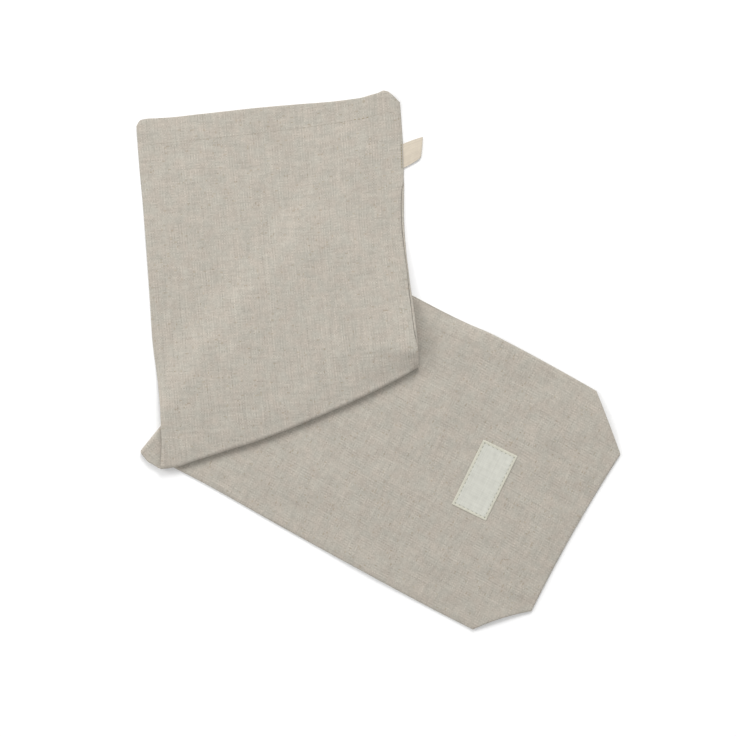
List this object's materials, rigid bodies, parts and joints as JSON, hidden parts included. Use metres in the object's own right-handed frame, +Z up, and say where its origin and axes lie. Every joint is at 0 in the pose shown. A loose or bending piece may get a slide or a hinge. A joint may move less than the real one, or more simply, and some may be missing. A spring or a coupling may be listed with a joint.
{
  "type": "folded linen bread bag",
  "caption": "Long flat linen bread bag with boxed bottom corners, a blank sewn label and a ribbon tag in its side seam, lying empty and folded into a slanted Z.",
  "frame": {"origin": "on the surface that the bag lies on, under the middle of the folded bag's bounding box", "axes": "+Z up, square to the cloth; +Y towards the mouth of the upper run, which leans 5 degrees from it; +X towards the side seam with the tag"},
  "size_m": [0.4346, 0.4837, 0.0171],
  "materials": {
    "linen": "plain-woven natural linen, unbleached grey-beige, matt and slubby",
    "label_cloth": "smooth off-white cotton label, edge-stitched, blank",
    "tag_ribbon": "cream cotton twill ribbon, blank"
  },
  "bodies": {
    "root": {"front_panel": "linen", "back_panel": "linen", "label": "label_cloth", "side_tag": "tag_ribbon"}
  },
  "joints": []
}
